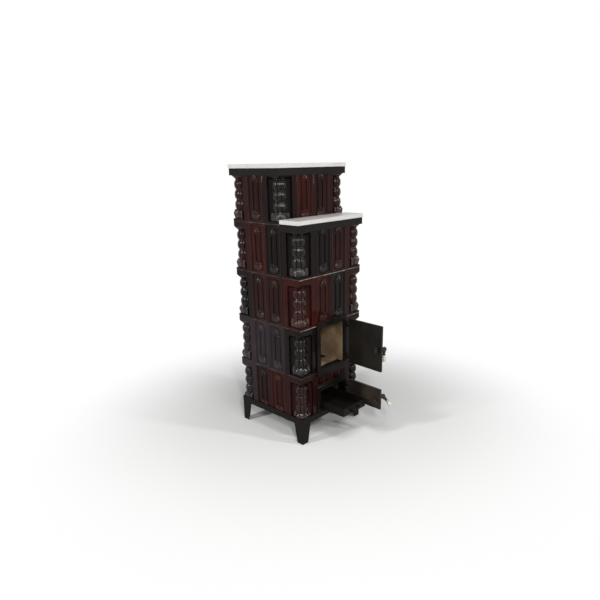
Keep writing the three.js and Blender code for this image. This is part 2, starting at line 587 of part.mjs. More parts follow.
// lever on an axle through the leaf, hub and neck outside, tongue inside; drawn about +Z pointing
// out of the leaf with z 0 on its outer face and the grip towards -y
function lever() {
  const inside = LEAF_OUT_Y - PLATE_BACK;
  const hub = toSolid(turned([[0, FIT], [9, FIT], [9, 8], [6, 12], [6, GRIP_STAND - 14], [HUB_R - 2, GRIP_STAND - 12],
    [HUB_R, GRIP_STAND - 6], [HUB_R, GRIP_STAND + 6], [HUB_R - 3, GRIP_STAND + 11], [0, GRIP_STAND + 12]]));
  const axle = toSolid(rod(AXLE_R, inside - 7, 2, 16));
  const tongue = box(-6, 6, -6, TONGUE, inside - 6.5, inside - 1.5);
  const neck = toSolid(turned([[0, 4], [9, 4], [9, 17], [6, 21], [6, GRIP_NEAR - 5], [8.5, GRIP_NEAR - 4],
    [8.5, GRIP_NEAR], [3.2, GRIP_NEAR], [3.2, GRIP_FAR - 12], [0, GRIP_FAR - 12]], 12).rotateX(Math.PI / 2))
    .translate([0, 0, GRIP_STAND]);
  return union([hub, axle, tongue, neck]);
}

function grip() {
  const body = toSolid(turned([[0, GRIP_NEAR + FIT], [7, GRIP_NEAR + FIT], [8, GRIP_NEAR + 6],
    [GRIP_R - 1, GRIP_NEAR + 15], [GRIP_R, GRIP_FAR - 13], [GRIP_R - 3, GRIP_FAR - 4], [4, GRIP_FAR], [0, GRIP_FAR]], 14));
  const bore = toSolid(rod(3.6, GRIP_NEAR - 5, GRIP_FAR - 11, 12));
  return body.subtract(bore).rotate([90, 0, 0]).translate([0, 0, GRIP_STAND]);
}

// from the lever's own frame to its place on the shut leaf, then out with the leaf
function onLeaf(solid, turn, latchZ, open) {
  const g = toGeometry(solid);
  g.rotateZ((turn * Math.PI) / 180);
  g.rotateX(Math.PI / 2);
  g.translate(LATCH_X, LEAF_OUT_Y, latchZ);
  return swing(g, open);
}

const leverShape = lever();
const gripShape = grip();
add('fire_door', swing(toGeometry(leaf(FIRE_LEAF_Z, FIRE_LATCH_Z)), FIRE_DOOR_OPEN), SHEET_STEEL);
add('fire_lever', onLeaf(leverShape, FIRE_LEVER_TURN, FIRE_LATCH_Z, FIRE_DOOR_OPEN), IRON);
add('fire_grip', onLeaf(gripShape, FIRE_LEVER_TURN, FIRE_LATCH_Z, FIRE_DOOR_OPEN), PORCELAIN);
add('ash_door', swing(toGeometry(leaf(ASH_LEAF_Z, ASH_LATCH_Z)), ASH_DOOR_OPEN), SHEET_STEEL);
add('ash_lever', onLeaf(leverShape, ASH_LEVER_TURN, ASH_LATCH_Z, ASH_DOOR_OPEN), IRON);
add('ash_grip', onLeaf(gripShape, ASH_LEVER_TURN, ASH_LATCH_Z, ASH_DOOR_OPEN), PORCELAIN);

// ---------------------------------------------------------------- ash drawer with its strap pull
const dz = ASH_OPEN_Z[0] + FIT;
const dEnd = DRAWER_FRONT + DRAWER_LEN;
const tray = box(-DRAWER_HALF, DRAWER_HALF, DRAWER_FRONT, dEnd, dz, dz + DRAWER_H)
  .subtract(box(-DRAWER_HALF + DRAWER_WALL, DRAWER_HALF - DRAWER_WALL, DRAWER_FRONT + DRAWER_WALL,
    dEnd - DRAWER_WALL, dz + DRAWER_WALL, dz + DRAWER_H + 1));
const PULL_HALF = 30;
const PULL_OUT = 15;
const strap = box(-PULL_HALF, PULL_HALF, DRAWER_FRONT - PULL_OUT, DRAWER_FRONT + 1, dz + 14, dz + 24)
  .subtract(box(-PULL_HALF + 3, PULL_HALF - 3, DRAWER_FRONT - PULL_OUT + 3, DRAWER_FRONT, dz, dz + DRAWER_H));
add('ash_drawer', tray.add(strap), SHEET_STEEL);

// ---------------------------------------------------------------- flue collar at the back
function collar() {
  const tube = rod(FLUE_R, FLUE_IN + 2, FLUE_OUT, 24);
  const flange = rod(FLUE_R + 16, BACK + FIT, BACK + FIT + 4, 24);
  const bore = rod(FLUE_R - 4, FLUE_IN - 5, FLUE_OUT + 5, 24);
  const solid = toSolid(tube).add(toSolid(flange)).subtract(toSolid(bore));
  return toGeometry(solid).rotateX(-Math.PI / 2).translate(0, 0, FLUE_Z);
}
add('flue_collar', collar(), IRON);

// ---------------------------------------------------------------- origin under the middle of it all
part.updateMatrixWorld(true);
const extent = new THREE.Box3().setFromObject(part);
const shift = -(extent.min.y + extent.max.y) / 2;
part.children.forEach((mesh) => mesh.geometry.translate(0, shift, 0));

export default part;
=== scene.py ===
import json
import math
import bpy
from mathutils import Matrix, Vector


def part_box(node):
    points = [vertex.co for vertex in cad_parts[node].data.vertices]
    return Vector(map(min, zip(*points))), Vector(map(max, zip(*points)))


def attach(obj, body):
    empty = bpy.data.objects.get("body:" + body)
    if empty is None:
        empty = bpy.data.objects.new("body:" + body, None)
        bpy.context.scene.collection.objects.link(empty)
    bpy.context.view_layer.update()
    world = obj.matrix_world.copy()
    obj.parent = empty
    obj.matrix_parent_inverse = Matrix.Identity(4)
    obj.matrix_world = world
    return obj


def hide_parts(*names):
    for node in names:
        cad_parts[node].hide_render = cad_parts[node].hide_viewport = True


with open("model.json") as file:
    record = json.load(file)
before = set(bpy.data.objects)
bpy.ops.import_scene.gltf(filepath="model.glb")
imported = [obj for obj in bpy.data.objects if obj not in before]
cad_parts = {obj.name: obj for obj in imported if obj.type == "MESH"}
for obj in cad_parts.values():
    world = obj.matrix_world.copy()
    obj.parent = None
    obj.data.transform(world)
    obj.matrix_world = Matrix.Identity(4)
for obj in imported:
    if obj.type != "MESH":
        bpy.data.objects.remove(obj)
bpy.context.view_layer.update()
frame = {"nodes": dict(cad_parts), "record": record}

# ---------------------------------------------------------------- camera
# The stove is seen from its front left corner, from a little above the upper slab, through a
# short lens. The lens is shifted because the picture was cut out of a larger one.
CAMERA_AT = Vector((-1.86343, -1.72151, 1.33382))
CAMERA_YAW = math.radians(46.609)
CAMERA_PITCH = math.radians(17.836)
CAMERA_ROLL = math.radians(-1.006)
SENSOR_MM = 36
LENS_MM = 31.455
LENS_SHIFT = (-0.01593, 0.05125)

ahead = Vector((math.sin(CAMERA_YAW) * math.cos(CAMERA_PITCH),
                math.cos(CAMERA_YAW) * math.cos(CAMERA_PITCH),
                -math.sin(CAMERA_PITCH)))
level = Vector((math.cos(CAMERA_YAW), -math.sin(CAMERA_YAW), 0))
rise = level.cross(ahead)
across = math.cos(CAMERA_ROLL) * level + math.sin(CAMERA_ROLL) * rise
upward = math.cos(CAMERA_ROLL) * rise - math.sin(CAMERA_ROLL) * level
bpy.ops.object.camera_add(location=CAMERA_AT)
camera = bpy.context.object
aim = Matrix((across, upward, -ahead)).transposed().to_4x4()
camera.matrix_world = Matrix.Translation(CAMERA_AT) @ aim
camera.data.sensor_width = SENSOR_MM
camera.data.lens = LENS_MM
camera.data.shift_x, camera.data.shift_y = LENS_SHIFT
bpy.context.scene.camera = camera

# ---------------------------------------------------------------- floor and light
# A pale matt floor that runs out to a white surround, one wide soft box over the stove and three
# small ones round it that put the bright points on the glazed beads.
FLOOR_SIZE = 30
FLOOR_PALE = (0.82, 0.82, 0.81, 1)
FLOOR_DROP = 0.0005
FLOOR_NEAR = 0.45
FLOOR_FAR = 1.5
WORLD_FILL = 0.16
LIGHT_AIM = (0, 0, 0.7)


def node_material(name):
    material = bpy.data.materials.new(name)
    material.use_nodes = True
    nodes = material.node_tree.nodes
    nodes.clear()
    return material, nodes, material.node_tree.links


def seen_directly(nodes, links):
    path = nodes.new("ShaderNodeLightPath")
    total = path.outputs["Is Camera Ray"]
    for other in ("Is Glossy Ray", "Is Transmission Ray"):
        add = nodes.new("ShaderNodeMath")
        add.operation = "MAXIMUM"
        links.new(total, add.inputs[0])
        links.new(path.outputs[other], add.inputs[1])
        total = add.outputs[0]
    return total


def soft_box(name, place, target, width, height, power):
    bpy.ops.object.light_add(type="AREA", location=place)
    lamp = bpy.context.object
    lamp.name = name
    lamp.data.shape = "RECTANGLE"
    lamp.data.size = width
    lamp.data.size_y = height
    lamp.data.energy = power
    lamp.rotation_euler = (Vector(target) - Vector(place)).to_track_quat("-Z", "Y").to_euler()


bpy.ops.object.select_all(action="DESELECT")
bpy.ops.mesh.primitive_plane_add(size=FLOOR_SIZE, location=(0, 0, -FLOOR_DROP))
floor = bpy.context.object
floor.name = "studio_floor"
material, nodes, links = node_material("pale_floor")
output = nodes.new("ShaderNodeOutputMaterial")
matt = nodes.new("ShaderNodeBsdfPrincipled")
matt.inputs["Base Color"].default_value = FLOOR_PALE
matt.inputs["Roughness"].default_value = 0.9
white = nodes.new("ShaderNodeEmission")
white.inputs["Color"].default_value = (1, 1, 1, 1)
coordinate = nodes.new("ShaderNodeTexCoord")
distance = nodes.new("ShaderNodeVectorMath")
distance.operation = "LENGTH"
fade = nodes.new("ShaderNodeMapRange")
fade.interpolation_type = "SMOOTHSTEP"
fade.inputs["From Min"].default_value = FLOOR_NEAR
fade.inputs["From Max"].default_value = FLOOR_FAR
only_seen = nodes.new("ShaderNodeMath")
only_seen.operation = "MULTIPLY"
blend = nodes.new("ShaderNodeMixShader")
links.new(coordinate.outputs["Object"], distance.inputs[0])
links.new(distance.outputs["Value"], fade.inputs["Value"])
links.new(fade.outputs[0], only_seen.inputs[0])
links.new(seen_directly(nodes, links), only_seen.inputs[1])
links.new(only_seen.outputs[0], blend.inputs[0])
links.new(matt.outputs[0], blend.inputs[1])
links.new(white.outputs[0], blend.inputs[2])
links.new(blend.outputs[0], output.inputs["Surface"])
floor.data.materials.append(material)

world = bpy.data.worlds.new("white_surround")
bpy.context.scene.world = world
world.use_nodes = True
nodes, links = world.node_tree.nodes, world.node_tree.links
nodes.clear()
output = nodes.new("ShaderNodeOutputWorld")
backdrop = nodes.new("ShaderNodeBackground")
backdrop.inputs["Color"].default_value = (1, 1, 1, 1)
strength = nodes.new("ShaderNodeMapRange")
strength.inputs["To Min"].default_value = WORLD_FILL
strength.inputs["To Max"].default_value = 1
links.new(seen_directly(nodes, links), strength.inputs["Value"])
links.new(strength.outputs[0], backdrop.inputs["Strength"])
links.new(backdrop.outputs[0], output.inputs["Surface"])

soft_box("box_over", (-0.6, -0.9, 3.1), (0, 0, 0.8), 0.9, 0.9, 20)
soft_box("box_front", (-1.75, -2.05, 1.85), LIGHT_AIM, 0.2, 0.6, 36)
soft_box("box_left", (-2.6, 0.7, 1.75), LIGHT_AIM, 0.2, 0.6, 38)
soft_box("box_right", (0.9, -2.5, 1.75), LIGHT_AIM, 0.2, 0.6, 32)
bpy.context.scene.view_settings.view_transform = "Standard"

# ---------------------------------------------------------------- moulded corner tiles
# Each corner of a course is one pressed clay tile under a dark lead glaze: a column of lobed beads
# between two coves, a fan of leaves on the foot that meets in a point, and a flared cornice.
MODULE = 0.11
TILE_H = 0.2396
TILE_T = 0.04
JOINT = 0.0002
BORDER = 0.0016
COLUMN_AT = 0.0315
LOBES = 9
STEPS_A_LOBE = 6
LOBE_SHAPE = {3: 0.095, 2: 0.012}
COVE_END = 0.080
COVE_DEPTH = 0.0165
COVE_Z = (0.0115, 0.2140)
COVE_HEAD = 0.018
# height of the ring, its radius, and how far it is lobed
COLUMN_ROWS = [
    (0.0400, 0.0240, 0), (0.0500, 0.0240, 0), (0.0545, 0.0250, 0.3), (0.0568, 0.0273, 0.7),
    (0.0620, 0.0293, 1), (0.0690, 0.0310, 1), (0.0760, 0.0315, 1), (0.0830, 0.0310, 1),
    (0.0900, 0.0293, 1), (0.0952, 0.0270, 0.8), (0.0966, 0.0242, 0), (0.0982, 0.0240, 0),
    (0.1000, 0.0256, 0), (0.1018, 0.0240, 0), (0.1034, 0.0242, 0), (0.1048, 0.0270, 0.8),
    (0.1100, 0.0293, 1), (0.1170, 0.0310, 1), (0.1240, 0.0315, 1), (0.1310, 0.0310, 1),
    (0.1380, 0.0293, 1), (0.1430, 0.0270, 0.8), (0.1444, 0.0242, 0), (0.1458, 0.0240, 0),
    (0.1475, 0.0256, 0), (0.1492, 0.0240, 0), (0.1506, 0.0242, 0), (0.1520, 0.0270, 0.8),
    (0.1572, 0.0293, 1), (0.1640, 0.0310, 0.9), (0.1710, 0.0315, 0.9), (0.1780, 0.0310, 0.9),
    (0.1848, 0.0291, 0.9), (0.1890, 0.0268, 0.6), (0.1903, 0.0244, 0), (0.1918, 0.0240, 0),
    (0.1938, 0.0254, 0), (0.1958, 0.0240, 0), (0.2040, 0.0246, 0), (0.2120, 0.0262, 0),
    (0.2180, 0.0270, 0),
]
# height of the level, and how far it stands back from both faces of the tile
FOOT_LEVELS = [(0.0105, 0.0058), (0.0175, 0.0056), (0.0230, 0.0046), (0.0300, 0.0042), (0.0415, 0.0044),
               (0.0470, 0.0062), (0.0510, 0.0098), (0.0540, 0.0135), (0.0570, 0.0152)]
FOOT_REACH = 0.062
FOOT_TOP = 0.0575
CAPITAL_LEVELS = [(0.1900, 0.0150), (0.1950, 0.0136), (0.2000, 0.0106), (0.2045, 0.0070),
                  (0.2085, 0.0036), (0.2125, 0.0014), (0.2160, 0.0010), (0.2220, 0.0010)]
FOOT_SOFT = 0.003
CAPITAL_SOFT = 0.004
# the two plain bands: name, lower and upper level, and the radius of their edges
BANDS = (("plinth", 0.0010, 0.0125, 0.0022), ("band", 0.2130, TILE_H - 0.0010, 0.0026))
BAND_W = 0.0832
# leaves on one side of the foot: tilt from upright, length, width and curl
FOOT_LEAVES = [(73, 0.0520, 0.0120, 0.0004), (56, 0.0540, 0.0135, 0.0004),
               (38, 0.0510, 0.0140, 0.0014), (20, 0.0440, 0.0140, 0.0022)]
FOOT_LEAF_T = 0.012
CORNER_LEAF = (0, 0.0430, 0.0140, 0.0022)
CORNER_LEAF_T = 0.015
BEAD_SHINE = 0.8


def placed():
    bpy.ops.object.transform_apply(location=True, rotation=True, scale=True)


def block(name, low, high):
    bpy.ops.object.select_all(action="DESELECT")
    middle = [(a + b) / 2 for a, b in zip(low, high)]
    size = [b - a for a, b in zip(low, high)]
    bpy.ops.mesh.primitive_cube_add(size=1, location=middle, scale=size)
    made = bpy.context.object
    made.name = name
    placed()
    return made


def select_in(obj, kind, test):
    bpy.ops.object.mode_set(mode="EDIT")
    bpy.ops.mesh.select_mode(type=kind)
    bpy.ops.mesh.select_all(action="DESELECT")
    bpy.ops.object.mode_set(mode="OBJECT")
    mesh = obj.data
    if kind == "FACE":
        for face in mesh.polygons:
            face.select = test(face.center, face.normal)
    elif kind == "EDGE":
        for edge in mesh.edges:
            a, b = (mesh.vertices[i].co for i in edge.vertices)
            edge.select = test((a + b) / 2, (b - a).normalized())
    else:
        for vertex in mesh.vertices:
            vertex.select = test(vertex.co)
    bpy.ops.object.mode_set(mode="EDIT")


def round_edges(obj, test, radius, segments=3):
    select_in(obj, "EDGE", test)
    bpy.ops.mesh.bevel(offset=radius, segments=segments, profile=0.5)
    bpy.ops.object.mode_set(mode="OBJECT")


def copy_of(obj, name, matrix):
    twin = obj.copy()
    twin.data = obj.data.copy()
    twin.name = name
    twin.data.name = name
    bpy.context.collection.objects.link(twin)
    twin.data.transform(matrix)
    if matrix.determinant() < 0:
        twin.data.flip_normals()
    return twin


def combine(obj, operation, others):
    group = bpy.data.collections.new("others")
    for other in others:
        group.objects.link(other)
    modifier = obj.modifiers.new(operation.lower(), "BOOLEAN")
    modifier.operation = operation
    modifier.operand_type = "COLLECTION"
    modifier.collection = group
    modifier.solver = "EXACT"
    bpy.context.view_layer.objects.active = obj
    bpy.ops.object.modifier_apply(modifier=modifier.name)
    for other in others:
        bpy.data.objects.remove(other)
    bpy.data.collections.remove(group)


def finish_mesh(obj, angle=38):
    bpy.ops.object.select_all(action="DESELECT")
    obj.select_set(True)
    bpy.context.view_layer.objects.active = obj
    bpy.ops.object.mode_set(mode="EDIT")
    bpy.ops.mesh.select_all(action="SELECT")
    bpy.ops.mesh.remove_doubles(threshold=0.00004)
    bpy.ops.mesh.dissolve_degenerate(threshold=0.00004)
    bpy.ops.mesh.normals_make_consistent(inside=False)
    bpy.ops.object.mode_set(mode="OBJECT")
    bpy.ops.object.shade_smooth_by_angle(angle=math.radians(angle))
    even = obj.modifiers.new("even_shading", "WEIGHTED_NORMAL")
    even.keep_sharp = True
    bpy.ops.object.modifier_apply(modifier=even.name)


def mark_worked(obj, share, test):
    """Marks the points that the glaze shines on most: the round beads and the leaves."""
    worked = obj.data.attributes.new("worked", "FLOAT", "POINT")
    for vertex, mark in zip(obj.data.vertices, worked.data):
        mark.value = share if test(vertex.co) else 0.0


def on_bead_or_foot(co):
    if co.z < FOOT_TOP:
        return FOOT_LEVELS[0][0] + 0.002 < co.z and max(co.x, co.y) < FOOT_REACH
    off_axis = (co.xy - Vector((COLUMN_AT, COLUMN_AT))).length
    return co.z < CAPITAL_LEVELS[0][0] and off_axis < COLUMN_AT + 0.001


def leaf(name, length, width, thickness, curl, matrix):
    """One leaf that stands on its root at the origin and runs up z, its face towards -y."""
    bpy.ops.object.select_all(action="DESELECT")
    bpy.ops.mesh.primitive_uv_sphere_add(segments=12, ring_count=9, radius=0.5,
                                         location=(0, 0, length / 2))
    made = bpy.context.object
    made.name = name
    made.scale = (width, thickness, length)
    placed()
    for share, narrow in ((0.45, 0.86), (0.3, 0.78), (0.15, 0.7)):
        select_in(made, "VERT", lambda co: co.z < share * length)
        bpy.ops.transform.resize(value=(narrow, narrow, 1), center_override=(0, 0, 0))
        bpy.ops.object.mode_set(mode="OBJECT")
    for share in (0.62, 0.86):
        select_in(made, "VERT", lambda co: co.z > share * length)
        bpy.ops.transform.translate(value=(0, curl, 0))
        bpy.ops.object.mode_set(mode="OBJECT")
    made.data.transform(matrix)
    return made


def grown_square(name, levels, reach, soft):
    """Square block in the corner of the tile that is drawn up from level to level."""
    (z0, inset), (z1, _) = levels[0], levels[1]
    made = block(name, (inset, inset, z0), (reach, reach, z1))
    for (z0, before), (z1, after) in zip(levels, levels[1:]):
        select_in(made, "FACE", lambda mid, way: way.z > 0.9)
        if z0 > levels[0][0]:
            bpy.ops.mesh.extrude_region_move(TRANSFORM_OT_translate={"value": (0, 0, z1 - z0)})
        share = (reach - after) / (reach - before)
        bpy.ops.transform.resize(value=(share, share, 1), center_override=(reach, reach, z1))
        bpy.ops.object.mode_set(mode="OBJECT")
    round_edges(made, lambda mid, way: abs(way.z) > 0.15 and max(mid.x, mid.y) < 0.03, soft)
    return made


def make_column():
    bpy.ops.object.select_all(action="DESELECT")
    bpy.ops.mesh.primitive_circle_add(vertices=LOBES * STEPS_A_LOBE, radius=COLUMN_ROWS[0][1],
                                      fill_type="NGON", rotation=(0, 0, math.radians(45)),
                                      location=(COLUMN_AT, COLUMN_AT, COLUMN_ROWS[0][0]))
    column = bpy.context.object
    column.name = "column"
    placed()
    bpy.ops.object.mode_set(mode="EDIT")
    bpy.ops.mesh.select_all(action="SELECT")
    for (z0, r0, _), (z1, r1, _) in zip(COLUMN_ROWS, COLUMN_ROWS[1:]):
        bpy.ops.mesh.extrude_region_move(TRANSFORM_OT_translate={"value": (0, 0, z1 - z0)})
        bpy.ops.transform.resize(value=(r1 / r0, r1 / r0, 1), center_override=(COLUMN_AT, COLUMN_AT, z1))
    bpy.ops.object.mode_set(mode="OBJECT")
    step = 2 * math.pi / (LOBES * STEPS_A_LOBE)
    for z, _, lobed in COLUMN_ROWS:
        if not lobed:
            continue
        for beside, depth in LOBE_SHAPE.items():
            def off_middle(co):
                angle = math.atan2(co.y - COLUMN_AT, co.x - COLUMN_AT) - math.radians(225)
                turn = round(angle / step)
                off = min(turn % STEPS_A_LOBE, -turn % STEPS_A_LOBE)
                return abs(co.z - z) < 0.0004 and off == beside
            select_in(column, "VERT", off_middle)
            pinch = 1 - depth * lobed
            bpy.ops.transform.resize(value=(pinch, pinch, 1), center_override=(COLUMN_AT, COLUMN_AT, z))
            bpy.ops.object.mode_set(mode="OBJECT")
    bpy.ops.object.mode_set(mode="EDIT")
    bpy.ops.mesh.select_all(action="SELECT")
    bpy.ops.mesh.normals_make_consistent(inside=False)
    bpy.ops.object.mode_set(mode="OBJECT")
    rounded = column.modifiers.new("rounded", "SUBSURF")
    rounded.levels = rounded.render_levels = 1
    bpy.ops.object.modifier_apply(modifier=rounded.name)
    bpy.ops.object.mode_set(mode="EDIT")
    bpy.ops.mesh.select_all(action="SELECT")
    bpy.ops.mesh.bisect(plane_co=(COLUMN_AT + 0.006, COLUMN_AT + 0.006, 0), plane_no=(1, 1, 0),
                        use_fill=True, clear_outer=True)
    bpy.ops.object.mode_set(mode="OBJECT")
    return column


def leaf_fan(point, turn, leaves, thickness):
    """Leaves from one point: tilt from upright, length, width and curl of each."""
    made = []
    for tilt, length, width, curl in leaves:
        lean = Matrix.Rotation(math.radians(tilt), 4, "Y")
        place = Matrix.Translation(point) @ turn @ lean
        made.append(leaf("leaf", length, width, thickness, curl, place))
    return made


def make_corner_tile():
    edge = MODULE - JOINT
    over_corner = Matrix(((0, 1, 0, 0), (1, 0, 0, 0), (0, 0, 1, 0), (0, 0, 0, 1)))
    tile = block("corner_tile", (BORDER, BORDER, 0), (edge, edge, TILE_H))
    round_edges(tile, lambda mid, way: abs(way.z) < 0.5 and min(mid.x, mid.y) < BORDER + 1e-5,
                0.0012, 2)
    added = []
    for name, low, high, soft in BANDS:
        made = block(name, (0, 0, low), (BAND_W, BAND_W, high))
        round_edges(made, lambda mid, way: min(mid.x, mid.y) < 1e-5, soft)
        added.append(made)
    combine(tile, "UNION", added)
    cutters = []
    for swap in (False, True):
        cove = block("cove", (-0.01, -0.01, COVE_Z[0]), (COVE_END, COVE_DEPTH, COVE_Z[1]))
        round_edges(cove, lambda mid, way: abs(way.y) > 0.9 and mid.x > 0.07 and mid.z > 0.1,
                    COVE_HEAD, 6)
        round_edges(cove, lambda mid, way: mid.y > COVE_DEPTH - 0.001 and mid.x > 0.02, 0.0120, 4)
        if swap:
            cove.data.transform(over_corner)
            cove.data.flip_normals()
        cutters.append(cove)
    combine(tile, "DIFFERENCE", cutters)
    hollow = block("hollow", (TILE_T, TILE_T, -0.01), (0.2, 0.2, 0.3))

    # leaves on the foot, which meet in a point low on the corner
    point = Vector((0.0064, 0.0064, 0.0140))
    leaves = leaf_fan(point, Matrix(), FOOT_LEAVES, FOOT_LEAF_T)
    mirrored = [(-tilt, length, width, curl) for tilt, length, width, curl in FOOT_LEAVES]
    leaves += leaf_fan(point, Matrix.Rotation(math.radians(-90), 4, "Z"), mirrored, FOOT_LEAF_T)
    leaves += leaf_fan(Vector((0.0074, 0.0074, 0.0140)), Matrix.Rotation(math.radians(-45), 4, "Z"),
                       [CORNER_LEAF], CORNER_LEAF_T)
    others = [make_column(), grown_square("capital", CAPITAL_LEVELS, COVE_END - 0.001, CAPITAL_SOFT),
              grown_square("foot", FOOT_LEVELS, FOOT_REACH, FOOT_SOFT)]
    combine(tile, "UNION", others + leaves)
    combine(tile, "DIFFERENCE", [hollow])
    finish_mesh(tile)
    mark_worked(tile, BEAD_SHINE, on_bead_or_foot)
    return tile


corner_tile = make_corner_tile()

# ---------------------------------------------------------------- relief face tiles
# Each face tile has a rounded border moulding, a sunk field, and a slender framed recess with a
# low hood and a small crest over it and a bell of leaves under it.
FACE_TILE_W = MODULE - 2 * JOINT
# width taken and height gained by each step of the border, from the edge of the panel inwards
BORDER_STEPS = [(0.0015, 0.0012), (0.0025, 0.0009), (0.0035, 0.0001), (0.0030, -0.0004),
                (0.0025, -0.0020), (0.0020, -0.0022), (0.0030, -0.0003)]
PANEL_FACE = 0.0022
# half width, lower and upper level of the upright parts
FRAME_SIZES = (0.0215, 0.0520, 0.1930)
HOOD_SIZES = (0.0290, 0.1920, 0.1985)
SILL_SIZES = (0.0260, 0.0470, 0.0530)
RECESS_SIZES = (0.0142, 0.0585, 0.1865)
RECESS_DEPTH = 0.0045
CREST_SHINE = 0.45
CREST_LEAVES = [(tilt, length, 0.0086, -0.0006) for tilt, length in (
    (-76, 0.0190), (-50, 0.0220), (-25, 0.0250), (0, 0.0270), (25, 0.0250), (50, 0.0220), (76, 0.0190))]
BELL_LEAVES = [(180 + tilt, length, 0.0128, -0.0006) for tilt, length in (
    (-46, 0.0400), (-28, 0.0430), (-9, 0.0420), (9, 0.0420), (28, 0.0430), (46, 0.0400))]


def framed(name, sizes, front, back, head, soft):
    """An upright block with softened shoulders and a softened front edge."""
    half, low, high = sizes
    made = block(name, (-half, front, low), (half, back, high))
    round_edges(made, lambda mid, way: abs(way.y) > 0.9 and mid.z > high - 0.001, head, 6)
    if soft:
        round_edges(made, lambda mid, way: abs(mid.y - front) < 1e-5, soft, 3)
    return made


def make_face_tile():
    tile = block("face_tile", (-FACE_TILE_W / 2, PANEL_FACE, 0), (FACE_TILE_W / 2, TILE_T, TILE_H))
    select_in(tile, "FACE", lambda mid, way: way.y < -0.9)
    for thickness, height in BORDER_STEPS:
        bpy.ops.mesh.inset(thickness=thickness, depth=height, use_individual=True)
    bpy.ops.object.mode_set(mode="OBJECT")
    frame_moulding = framed("frame_moulding", FRAME_SIZES, 0.0012, 0.012, 0.0120, 0.0024)
    hood = framed("hood", HOOD_SIZES, 0.0006, 0.012, 0.0028, 0.0018)
    sill = framed("sill", SILL_SIZES, 0.0008, 0.012, 0.0024, 0.0018)
    combine(tile, "UNION", [frame_moulding, hood, sill])
    combine(tile, "DIFFERENCE", [framed("recess", RECESS_SIZES, -0.002, RECESS_DEPTH, 0.0080, 0)])
    crest = Vector((0, 0.0050, 0.1975))
    bell = Vector((0, 0.0050, 0.0530))
    ornaments = leaf_fan(crest, Matrix(), CREST_LEAVES, 0.008)
    ornaments += leaf_fan(bell, Matrix(), BELL_LEAVES, 0.009)
    for at, size in ((crest, 0.0050), (bell, 0.0062)):
        bpy.ops.object.select_all(action="DESELECT")
        bpy.ops.mesh.primitive_uv_sphere_add(segments=12, ring_count=8, radius=size,
                                             location=at - Vector((0, 0.0005, 0)))
        boss = bpy.context.object
        boss.scale = (1, 0.8, 1)
        bpy.ops.object.transform_apply(location=False, rotation=False, scale=True)
        placed()
        ornaments.append(boss)
    combine(tile, "UNION", ornaments)
    finish_mesh(tile)
    mark_worked(tile, CREST_SHINE, lambda co: (co.y < PANEL_FACE and abs(co.x) < 0.03
                                               and (co.z < 0.052 or co.z > 0.1975)))
    return tile


face_tile = make_face_tile()

# ---------------------------------------------------------------- strip tile between the doors
# A low tile of four small sunk panels, each with one upright leaf, pressed and glazed like the rest.
STRIP_PANELS = 4
strip_low, strip_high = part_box("front_strip")
STRIP_H = strip_high[2] - strip_low[2]
STRIP_STEPS = [(0.0015, 0.0014), (0.0025, 0.0008), (0.0025, -0.0004), (0.0015, -0.0026),
               (0.0015, -0.0024)]
STRIP_LEAVES = [(-38, 0.0200, 0.0070, -0.0008), (0, 0.0300, 0.0090, -0.0008),
                (38, 0.0200, 0.0070, -0.0008)]


def make_strip_tile():
    width = 2 * MODULE - 2 * JOINT
    tile = block("strip_tile", (-width / 2, PANEL_FACE, 0), (width / 2, TILE_T, STRIP_H))
    bpy.ops.object.mode_set(mode="EDIT")
    for cut in (-1, 0, 1):
        bpy.ops.mesh.select_all(action="SELECT")
        bpy.ops.mesh.bisect(plane_co=(cut * width / STRIP_PANELS, 0, 0), plane_no=(1, 0, 0))
    bpy.ops.object.mode_set(mode="OBJECT")
    select_in(tile, "FACE", lambda mid, way: way.y < -0.9)
    for thickness, height in STRIP_STEPS:
        bpy.ops.mesh.inset(thickness=thickness, depth=height, use_individual=True)
    bpy.ops.object.mode_set(mode="OBJECT")
    ornaments = []
    for panel in range(STRIP_PANELS):
        middle = (panel + 0.5 - STRIP_PANELS / 2) * width / STRIP_PANELS
        foot = Vector((middle, 0.0046, 0.0105))
        ornaments += leaf_fan(foot, Matrix(), STRIP_LEAVES, 0.008)
    combine(tile, "UNION", ornaments)
    finish_mesh(tile)
    return tile


strip_tile = make_strip_tile()

# ---------------------------------------------------------------- lead glaze
# Dark lead glaze over red clay. It runs thin and redder over edges and pools nearly black in the
# hollows, the skin is faintly wavy, and it shines most on the round beads and the leaves.


def new_group(name, inputs, outputs):
    group = bpy.data.node_groups.new(name, "ShaderNodeTree")
    for socket, kind, value in inputs:
        made = group.interface.new_socket(socket, in_out="INPUT", socket_type="NodeSocket" + kind)
        made.default_value = value
    for socket, kind in outputs:
        group.interface.new_socket(socket, in_out="OUTPUT", socket_type="NodeSocket" + kind)
    entry = group.nodes.new("NodeGroupInput")
    leave = group.nodes.new("NodeGroupOutput")
    return group, group.nodes, group.links, entry.outputs, leave.inputs


def noise(nodes, links, coordinate, scale, detail=3, roughness=0.55, squash=None):
    if squash:
        mapping = nodes.new("ShaderNodeMapping")
        mapping.inputs["Scale"].default_value = squash
        links.new(coordinate, mapping.inputs["Vector"])
        coordinate = mapping.outputs[0]
    made = nodes.new("ShaderNodeTexNoise")
    made.inputs["Scale"].default_value = scale
    made.inputs["Detail"].default_value = detail
    made.inputs["Roughness"].default_value = roughness
    links.new(coordinate, made.inputs["Vector"])
    return made.outputs["Fac"]


def span(nodes, links, value, low, high, to_low=0.0, to_high=1.0):
    made = nodes.new("ShaderNodeMapRange")
    made.inputs["From Min"].default_value = low
    made.inputs["From Max"].default_value = high
    made.inputs["To Min"].default_value = to_low
    made.inputs["To Max"].default_value = to_high
    links.new(value, made.inputs["Value"])
    return made.outputs[0]


